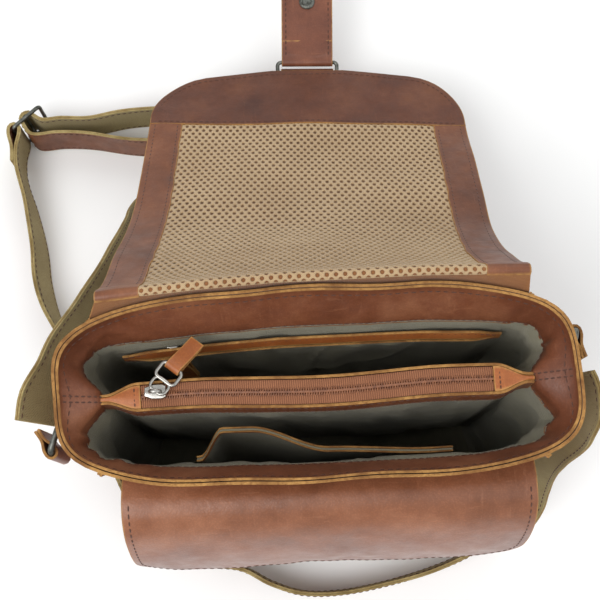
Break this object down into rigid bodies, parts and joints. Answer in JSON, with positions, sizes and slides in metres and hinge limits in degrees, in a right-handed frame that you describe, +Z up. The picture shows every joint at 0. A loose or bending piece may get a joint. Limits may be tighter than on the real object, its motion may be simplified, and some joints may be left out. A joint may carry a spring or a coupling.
{
  "type": "messenger bag",
  "caption": "Leather messenger bag with an open mouth, zipped divider, front pocket, a mesh-lined flap thrown back and a shoulder strap lying round it.",
  "frame": {"origin": "middle of the bag's underside, on the ground", "axes": "+X across the bag to its right side seen from the front, +Y from the front pocket to the back panel, +Z up"},
  "size_m": [0.3836, 0.4679, 0.2453],
  "materials": {
    "canvas_khaki": "khaki cotton canvas backing",
    "canvas_lining": "olive-grey cotton canvas",
    "leather_brown": "pull-up leather, semi-matt, warm brown",
    "leather_dark": "darker brown leather, semi-matt",
    "leather_tan": "orange-tan leather, semi-matt",
    "mesh_beige": "beige spacer mesh with oval holes",
    "nickel_antique": "dark antique nickel plate",
    "silver_metal": "bright nickel plate",
    "zip_coil": "brown nylon coil",
    "zip_tape": "brown woven zip tape"
  },
  "bodies": {
    "bag": {"back_panel": "leather_brown", "back_pocket_pouch": "canvas_lining", "back_pocket_welt": "leather_tan", "back_pocket_zip_chain": "zip_coil", "back_pocket_zip_tape": "zip_tape", "bottom_panel": "leather_brown", "closure_snap_post": "nickel_antique", "divider_band_back": "leather_brown", "divider_band_front": "leather_brown", "divider_end_tab_left": "leather_brown", "divider_end_tab_right": "leather_brown", "divider_wall_back": "canvas_lining", "divider_wall_front": "canvas_lining", "divider_zip_chain": "zip_coil", "divider_zip_tape_back": "zip_tape", "divider_zip_tape_front": "zip_tape", "facing_back": "leather_brown", "facing_front": "leather_brown", "facing_left": "leather_brown", "facing_right": "leather_brown", "flap_root": "leather_brown", "front_panel": "leather_brown", "gusset_left": "leather_brown", "gusset_right": "leather_brown", "lining": "canvas_lining", "pocket_face": "leather_brown", "pocket_flap_root": "leather_brown", "pocket_gusset": "leather_brown", "ring_tab_left": "leather_brown", "ring_tab_right": "leather_brown", "slip_pocket": "canvas_lining", "slip_pocket_trim": "leather_tan", "strap_buckle": "nickel_antique", "strap_long_canvas": "canvas_khaki", "strap_long_leather": "leather_brown", "strap_short_canvas": "canvas_khaki", "strap_short_leather": "leather_brown"},
    "flap_top": {"flap_leather_top": "leather_brown", "flap_border_top_left": "leather_brown", "flap_border_top_right": "leather_brown", "flap_mesh_top": "mesh_beige"},
    "flap_front": {"flap_leather_front": "leather_brown", "flap_border_front": "leather_dark", "flap_mesh_front": "mesh_beige", "closure_tab": "leather_dark"},
    "closure_strap": {"closure_ring": "nickel_antique", "closure_strap": "leather_brown", "closure_snap_cap": "nickel_antique", "closure_snap_socket": "nickel_antique"},
    "pocket_flap": {"pocket_flap": "leather_brown"},
    "divider_slider": {"divider_slider": "silver_metal"},
    "divider_puller": {"divider_puller": "silver_metal"},
    "divider_pull_tab": {"divider_pull_tab": "leather_tan"},
    "back_slider": {"back_pocket_slider": "silver_metal"},
    "back_puller": {"back_pocket_puller": "silver_metal"},
    "back_pull_tab": {"back_pocket_pull_tab": "leather_tan"},
    "ring_left": {"side_ring_left": "nickel_antique", "strap_end_left": "leather_brown"},
    "ring_right": {"side_ring_right": "nickel_antique", "strap_end_right": "leather_brown"}
  },
  "joints": [
    {"name": "flap_hinge", "type": "hinge", "parent": "bag", "child": "flap_top", "pos_m": [0, 0.0575, 0.246], "axis": [-1, 0, 0], "range_deg": [-232, 3]},
    {"name": "flap_crease", "type": "hinge", "parent": "flap_top", "child": "flap_front", "pos_m": [0, 0.11843, 0.14535], "axis": [-1, 0, 0], "range_deg": [-52.5, 1]},
    {"name": "closure_hinge", "type": "hinge", "parent": "flap_front", "child": "closure_strap", "pos_m": [0, 0.27588, 0.04185], "axis": [1, 0, 0], "range_deg": [-45, 25]},
    {"name": "pocket_flap_hinge", "type": "hinge", "parent": "bag", "child": "pocket_flap", "pos_m": [0.004, -0.0625, 0.223], "axis": [-1, 0, 0], "range_deg": [0, 125]},
    {"name": "divider_zip_slide", "type": "slide", "parent": "bag", "child": "divider_slider", "axis": [1, 0, 0], "range_m": [0, 0.165]},
    {"name": "divider_puller_hinge", "type": "hinge", "parent": "divider_slider", "child": "divider_puller", "pos_m": [-0.0858, 0, 0.2335], "axis": [0.7828, -0.6222, 0], "range_deg": [0, 110]},
    {"name": "divider_tab_hinge", "type": "hinge", "parent": "divider_puller", "child": "divider_pull_tab", "pos_m": [-0.07584, 0.01252, 0.2335], "axis": [0.7828, -0.6222, 0], "range_deg": [-10, 60]},
    {"name": "back_zip_slide", "type": "slide", "parent": "bag", "child": "back_slider", "axis": [1, 0, 0], "range_m": [0, 0.165]},
    {"name": "back_puller_hinge", "type": "hinge", "parent": "back_slider", "child": "back_puller", "pos_m": [-0.08, 0.02823, 0.199], "axis": [-0.9814, -0.0006, -0.1918], "range_deg": [-8, 10]},
    {"name": "back_tab_hinge", "type": "hinge", "parent": "back_puller", "child": "back_pull_tab", "pos_m": [-0.07766, 0.02368, 0.18705], "axis": [-0.9814, -0.0006, -0.1918], "range_deg": [-8, 10]},
    {"name": "ring_left_hinge", "type": "hinge", "parent": "bag", "child": "ring_left", "pos_m": [-0.1392, -0.014, 0.203], "axis": [0, 0, 1], "range_deg": [-12, 12]},
    {"name": "ring_right_hinge", "type": "hinge", "parent": "bag", "child": "ring_right", "pos_m": [0.1392, 0.012, 0.203], "axis": [0, 0, 1], "range_deg": [-12, 12]}
  ],
  "couplings": [
    {"joint": "flap_crease", "follows": "flap_hinge", "ratio": 0.2241}
  ]
}
